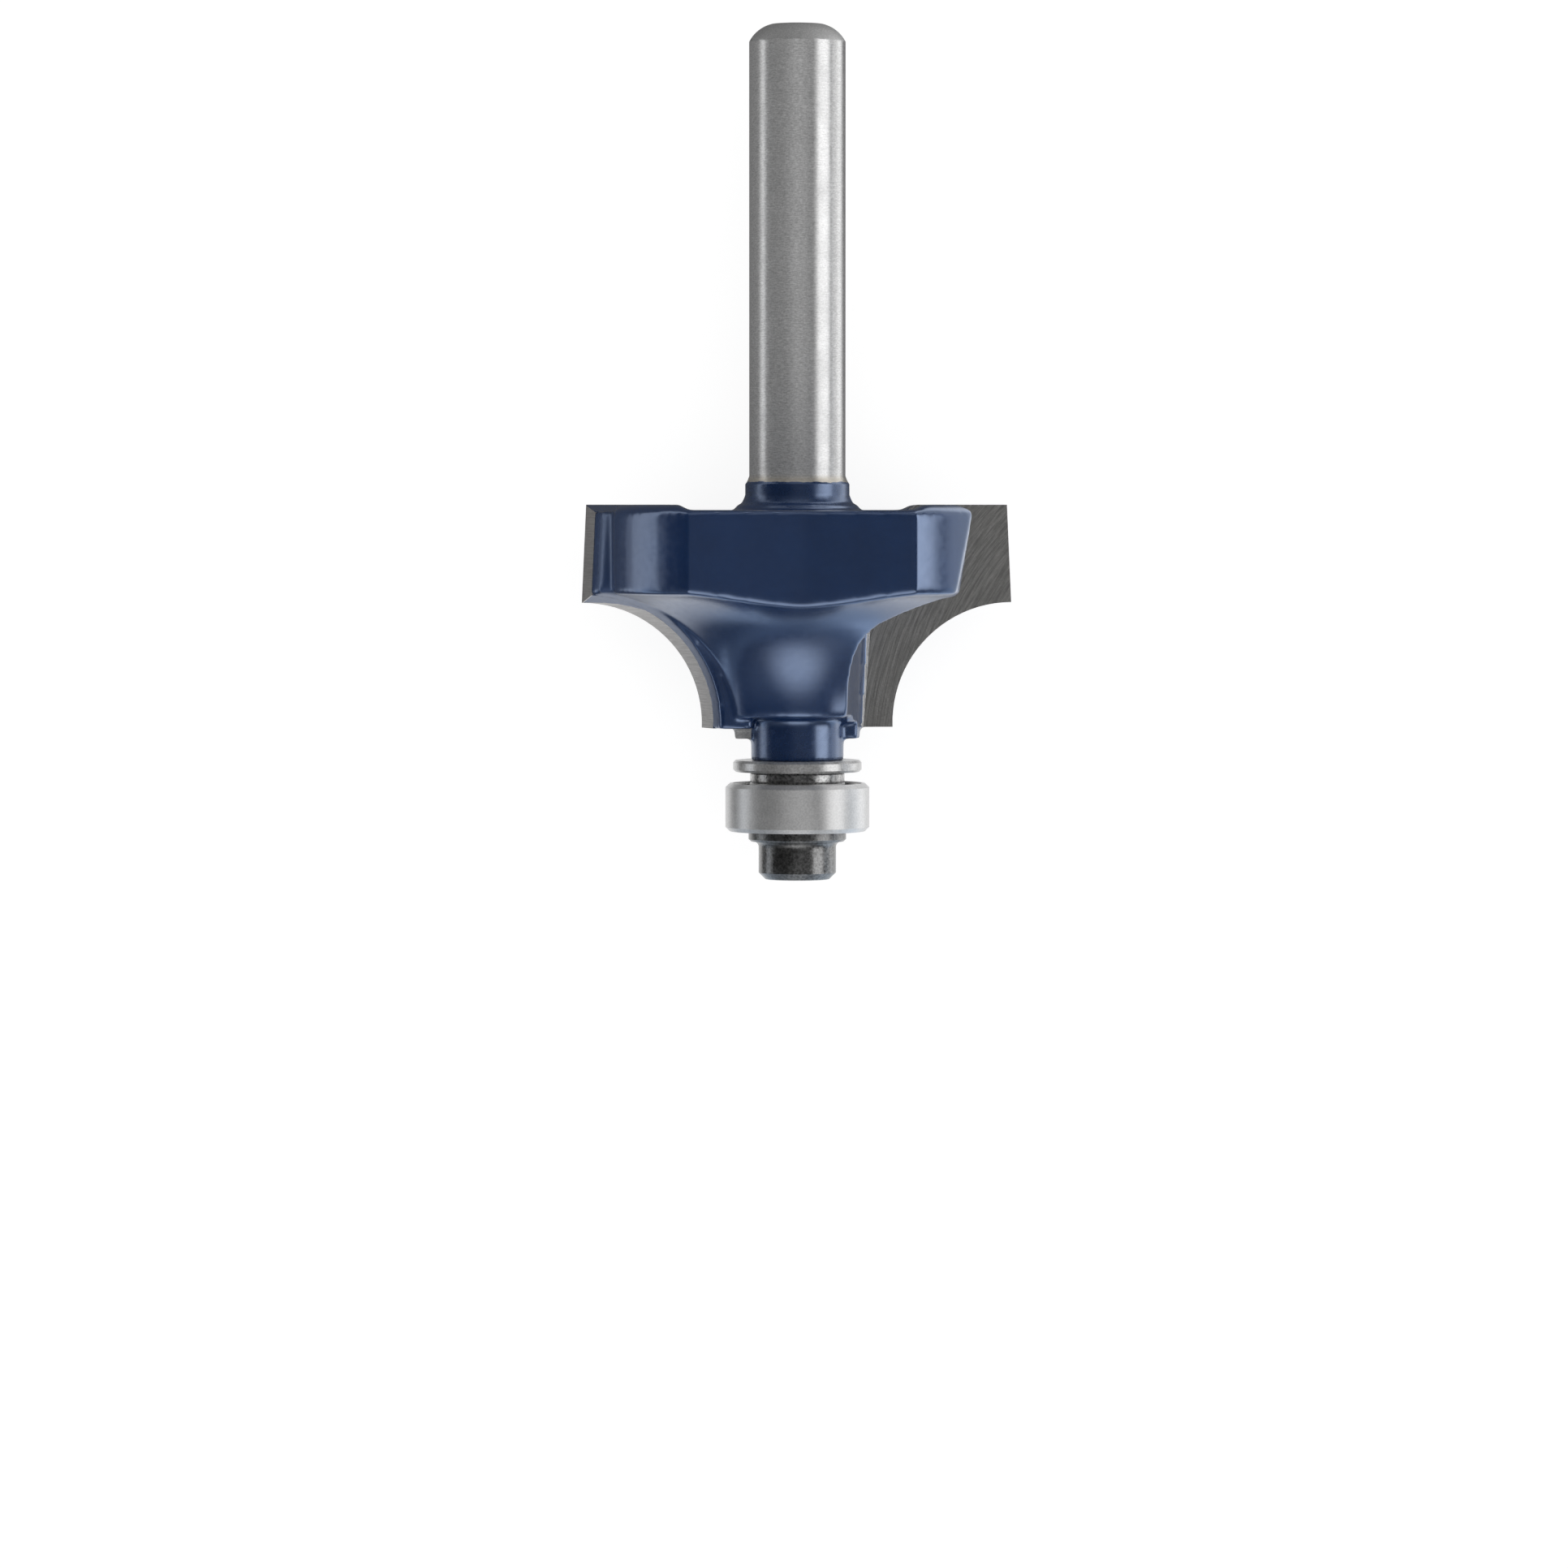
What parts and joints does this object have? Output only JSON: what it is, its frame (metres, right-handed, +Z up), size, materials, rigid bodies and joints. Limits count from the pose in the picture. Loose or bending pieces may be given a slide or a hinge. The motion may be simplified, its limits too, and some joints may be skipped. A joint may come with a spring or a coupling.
{
  "type": "router bit",
  "caption": "Beading and round-over router bit with brazed carbide tips, a coated steel body, a plain round shank and a ball-bearing pilot held by a flanged socket screw.",
  "frame": {"origin": "on the surface that the bit lies on, under the bit's axis, at the middle of its length", "axes": "+Y along the bit's axis towards the shank's end, +Z up from the surface, through the flats that face upward"},
  "size_m": [0.0284, 0.0564, 0.0226],
  "materials": {
    "blue_coat": "satin baked coating, dark blue, on the cutter body and stem; the shank is bare ground steel",
    "carbide": "ground tungsten carbide",
    "washer_steel": "matt plated steel",
    "spacer_steel": "dark speckled steel",
    "bearing_steel": "polished bearing steel",
    "cage_brass": "pressed brass",
    "ball_steel": "mirror polished steel",
    "shield_steel": "pressed sheet steel",
    "black_oxide": "black oxide steel"
  },
  "bodies": {
    "bit": {"cutter_body": "blue_coat", "carbide_tip_1": "carbide", "carbide_tip_2": "carbide", "shield_washer": "washer_steel", "spacer_ring": "spacer_steel", "bearing_inner_ring": "bearing_steel", "pilot_screw": "black_oxide"},
    "outer_ring": {"bearing_outer_ring": "bearing_steel", "shield_upper": "shield_steel", "shield_lower": "shield_steel", "snap_ring_upper": "shield_steel", "snap_ring_lower": "shield_steel"},
    "cage": {"bearing_cage": "cage_brass"},
    "ball_1_body": {"ball_1": "ball_steel"},
    "ball_2_body": {"ball_2": "ball_steel"},
    "ball_3_body": {"ball_3": "ball_steel"},
    "ball_4_body": {"ball_4": "ball_steel"},
    "ball_5_body": {"ball_5": "ball_steel"},
    "ball_6_body": {"ball_6": "ball_steel"},
    "ball_7_body": {"ball_7": "ball_steel"},
    "ball_8_body": {"ball_8": "ball_steel"}
  },
  "joints": [
    {"name": "bearing_spin", "type": "hinge", "parent": "bit", "child": "outer_ring", "pos_m": [0, -0.02339, 0.01131], "axis": [0, 1, 0], "continuous": true},
    {"name": "cage_orbit", "type": "hinge", "parent": "bit", "child": "cage", "pos_m": [0, -0.02339, 0.01131], "axis": [0, 1, 0], "continuous": true},
    {"name": "ball_1_spin", "type": "hinge", "parent": "cage", "child": "ball_1_body", "pos_m": [0.00357, -0.02339, 0.01131], "axis": [0, 1, 0], "continuous": true},
    {"name": "ball_2_spin", "type": "hinge", "parent": "cage", "child": "ball_2_body", "pos_m": [0.00253, -0.02339, 0.00878], "axis": [0, 1, 0], "continuous": true},
    {"name": "ball_3_spin", "type": "hinge", "parent": "cage", "child": "ball_3_body", "pos_m": [0, -0.02339, 0.00773], "axis": [0, 1, 0], "continuous": true},
    {"name": "ball_4_spin", "type": "hinge", "parent": "cage", "child": "ball_4_body", "pos_m": [-0.00253, -0.02339, 0.00878], "axis": [0, 1, 0], "continuous": true},
    {"name": "ball_5_spin", "type": "hinge", "parent": "cage", "child": "ball_5_body", "pos_m": [-0.00357, -0.02339, 0.01131], "axis": [0, 1, 0], "continuous": true},
    {"name": "ball_6_spin", "type": "hinge", "parent": "cage", "child": "ball_6_body", "pos_m": [-0.00253, -0.02339, 0.01383], "axis": [0, 1, 0], "continuous": true},
    {"name": "ball_7_spin", "type": "hinge", "parent": "cage", "child": "ball_7_body", "pos_m": [0, -0.02339, 0.01488], "axis": [0, 1, 0], "continuous": true},
    {"name": "ball_8_spin", "type": "hinge", "parent": "cage", "child": "ball_8_body", "pos_m": [0.00253, -0.02339, 0.01383], "axis": [0, 1, 0], "continuous": true}
  ],
  "couplings": [
    {"joint": "cage_orbit", "follows": "bearing_spin", "ratio": 0.61115},
    {"joint": "ball_1_spin", "follows": "bearing_spin", "ratio": 2.1381},
    {"joint": "ball_2_spin", "follows": "bearing_spin", "ratio": 2.1381},
    {"joint": "ball_3_spin", "follows": "bearing_spin", "ratio": 2.1381},
    {"joint": "ball_4_spin", "follows": "bearing_spin", "ratio": 2.1381},
    {"joint": "ball_5_spin", "follows": "bearing_spin", "ratio": 2.1381},
    {"joint": "ball_6_spin", "follows": "bearing_spin", "ratio": 2.1381},
    {"joint": "ball_7_spin", "follows": "bearing_spin", "ratio": 2.1381},
    {"joint": "ball_8_spin", "follows": "bearing_spin", "ratio": 2.1381}
  ]
}
